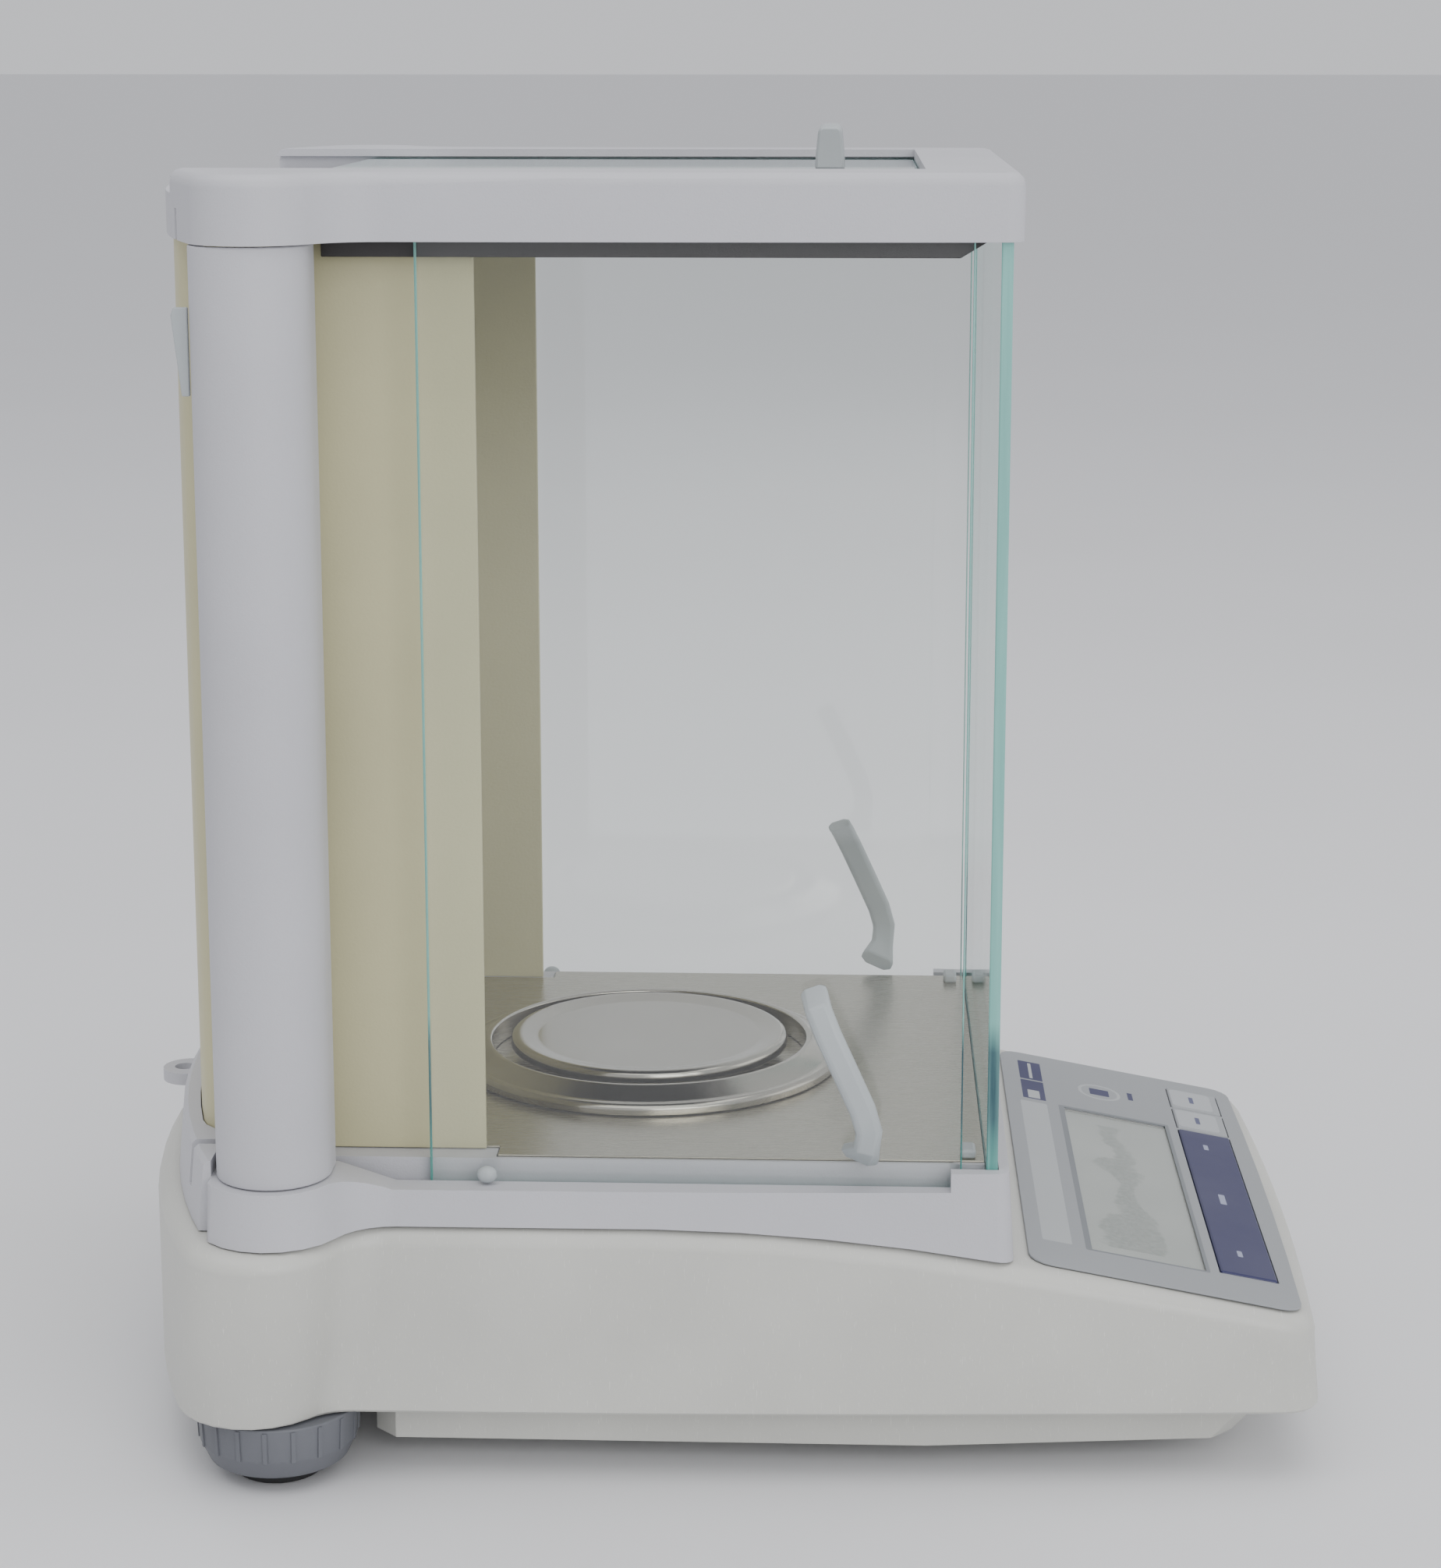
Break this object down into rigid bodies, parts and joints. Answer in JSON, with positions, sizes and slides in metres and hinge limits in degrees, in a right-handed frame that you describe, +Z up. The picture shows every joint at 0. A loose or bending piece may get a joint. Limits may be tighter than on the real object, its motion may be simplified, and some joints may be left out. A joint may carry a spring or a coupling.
{
  "type": "analytical balance",
  "caption": "Laboratory weighing balance with a glass draft shield, sliding side and top panes, a round pan in a draft ring, a sloped keypad panel and levelling feet.",
  "frame": {"origin": "middle of the balance's footprint, on the table", "axes": "+Z up, -Y towards the display and the user, +X to the user's right"},
  "size_m": [0.252, 0.328, 0.353],
  "materials": {
    "housing_paint": "fine light grey paint, semi-matte",
    "shield_plastic": "moulded grey plastic, semi-matte",
    "sheet_paint": "beige painted sheet",
    "black_plastic": "black moulded plastic",
    "foot_plastic": "mid grey moulded plastic",
    "handle_plastic": "light grey-blue satin plastic",
    "clear_glass": "clear float glass with a green edge",
    "polished_steel": "polished stainless steel",
    "satin_steel": "satin stainless sheet",
    "panel_foil": "printed grey keypad foil",
    "key_blue": "dark blue printed key",
    "display": "grey-green liquid crystal display",
    "aluminium": "milled aluminium",
    "copper": "enamelled copper winding",
    "magnet_steel": "dark magnet steel",
    "circuit_board": "green circuit board with black chips",
    "brass": "turned brass",
    "rubber": "black rubber",
    "zinc_screw": "zinc-plated steel"
  },
  "bodies": {
    "frame": {"base_housing": "housing_paint", "bottom_tray": "housing_paint", "cell_body": "aluminium", "chamber_sheet": "sheet_paint", "data_connector": "black_plastic", "display_window": "clear_glass", "draft_shield_skirt": "shield_plastic", "floor_plate": "satin_steel", "front_glass": "clear_glass", "guide_frame": "black_plastic", "key_board": "circuit_board", "keypad_foil": "panel_foil", "lcd_module": "display", "left_column": "shield_plastic", "left_column_clip": "handle_plastic", "left_foot_bush": "brass", "left_front_foot": "rubber", "left_glass_clip": "handle_plastic", "left_guide_stud": "handle_plastic", "level_holder": "black_plastic", "level_vial": "clear_glass", "magnet_pot": "magnet_steel", "main_board": "circuit_board", "power_inlet": "black_plastic", "right_column": "shield_plastic", "right_column_clip": "handle_plastic", "right_foot_bush": "brass", "right_front_foot": "rubber", "right_glass_clip": "handle_plastic", "right_guide_stud": "handle_plastic", "top_cover": "shield_plastic", "tray_screw_1": "zinc_screw", "tray_screw_2": "zinc_screw", "tray_screw_3": "zinc_screw", "tray_screw_4": "zinc_screw", "weigh_below_cover": "foot_plastic"},
    "left_door": {"left_door_glass": "clear_glass", "left_door_handle": "handle_plastic"},
    "right_door": {"right_door_glass": "clear_glass", "right_door_handle": "handle_plastic"},
    "top_door": {"top_door_glass": "clear_glass", "top_door_handle": "handle_plastic"},
    "receiver": {"load_receiver": "aluminium"},
    "lever": {"cell_lever": "aluminium", "force_coil": "copper"},
    "pan": {"weighing_pan": "polished_steel"},
    "ring": {"draft_ring": "polished_steel"},
    "tare_key": {"tare_bar": "key_blue"},
    "menu_button": {"menu_key": "panel_foil"},
    "print_button": {"print_key": "panel_foil"},
    "left_foot": {"left_foot_pad": "rubber"},
    "left_wheel": {"left_foot_wheel": "foot_plastic"},
    "right_foot": {"right_foot_pad": "rubber"},
    "right_wheel": {"right_foot_wheel": "foot_plastic"}
  },
  "joints": [
    {"name": "left_door_slide", "type": "slide", "parent": "frame", "child": "left_door", "axis": [0, 1, 0], "range_m": [-0.0058, 0.1192]},
    {"name": "right_door_slide", "type": "slide", "parent": "frame", "child": "right_door", "axis": [0, 1, 0], "range_m": [0, 0.125]},
    {"name": "top_door_slide", "type": "slide", "parent": "frame", "child": "top_door", "axis": [0, 1, 0], "range_m": [0, 0.125]},
    {"name": "receiver_travel", "type": "slide", "parent": "frame", "child": "receiver", "axis": [0, 0, 1], "range_m": [-0.0005, 0], "stiffness_N_per_m": 20000, "springref_m": 0.0001},
    {"name": "lever_tilt", "type": "hinge", "parent": "frame", "child": "lever", "pos_m": [0, 0.0429, 0.0405], "axis": [1, 0, 0], "range_deg": [-0.02, 1.55]},
    {"name": "pan_lift", "type": "slide", "parent": "receiver", "child": "pan", "axis": [0, 0, 1], "range_m": [0, 0.06]},
    {"name": "ring_lift", "type": "slide", "parent": "frame", "child": "ring", "axis": [0, 0, 1], "range_m": [0, 0.05]},
    {"name": "tare_press", "type": "slide", "parent": "frame", "child": "tare_key", "axis": [0, -0.1829, 0.9831], "range_m": [-0.0005, 0], "stiffness_N_per_m": 2000, "springref_m": 0.0003},
    {"name": "menu_press", "type": "slide", "parent": "frame", "child": "menu_button", "axis": [0, -0.1829, 0.9831], "range_m": [-0.0005, 0], "stiffness_N_per_m": 1500, "springref_m": 0.0003},
    {"name": "print_press", "type": "slide", "parent": "frame", "child": "print_button", "axis": [0, -0.1829, 0.9831], "range_m": [-0.0005, 0], "stiffness_N_per_m": 1500, "springref_m": 0.0003},
    {"name": "left_foot_travel", "type": "slide", "parent": "frame", "child": "left_foot", "axis": [0, 0, 1], "range_m": [-0.004, 0.00025]},
    {"name": "left_wheel_turn", "type": "hinge", "parent": "left_foot", "child": "left_wheel", "pos_m": [-0.093, 0.118, 0.012], "axis": [0, 0, 1], "range_deg": [-1440, 90]},
    {"name": "right_foot_travel", "type": "slide", "parent": "frame", "child": "right_foot", "axis": [0, 0, 1], "range_m": [-0.004, 0.00025]},
    {"name": "right_wheel_turn", "type": "hinge", "parent": "right_foot", "child": "right_wheel", "pos_m": [0.093, 0.118, 0.012], "axis": [0, 0, 1], "range_deg": [-1440, 90]}
  ],
  "couplings": [
    {"joint": "lever_tilt", "follows": "receiver_travel", "rad_per_m": -52.632},
    {"joint": "left_foot_travel", "follows": "left_wheel_turn", "m_per_rad": 0.00015915},
    {"joint": "right_foot_travel", "follows": "right_wheel_turn", "m_per_rad": 0.00015915}
  ]
}
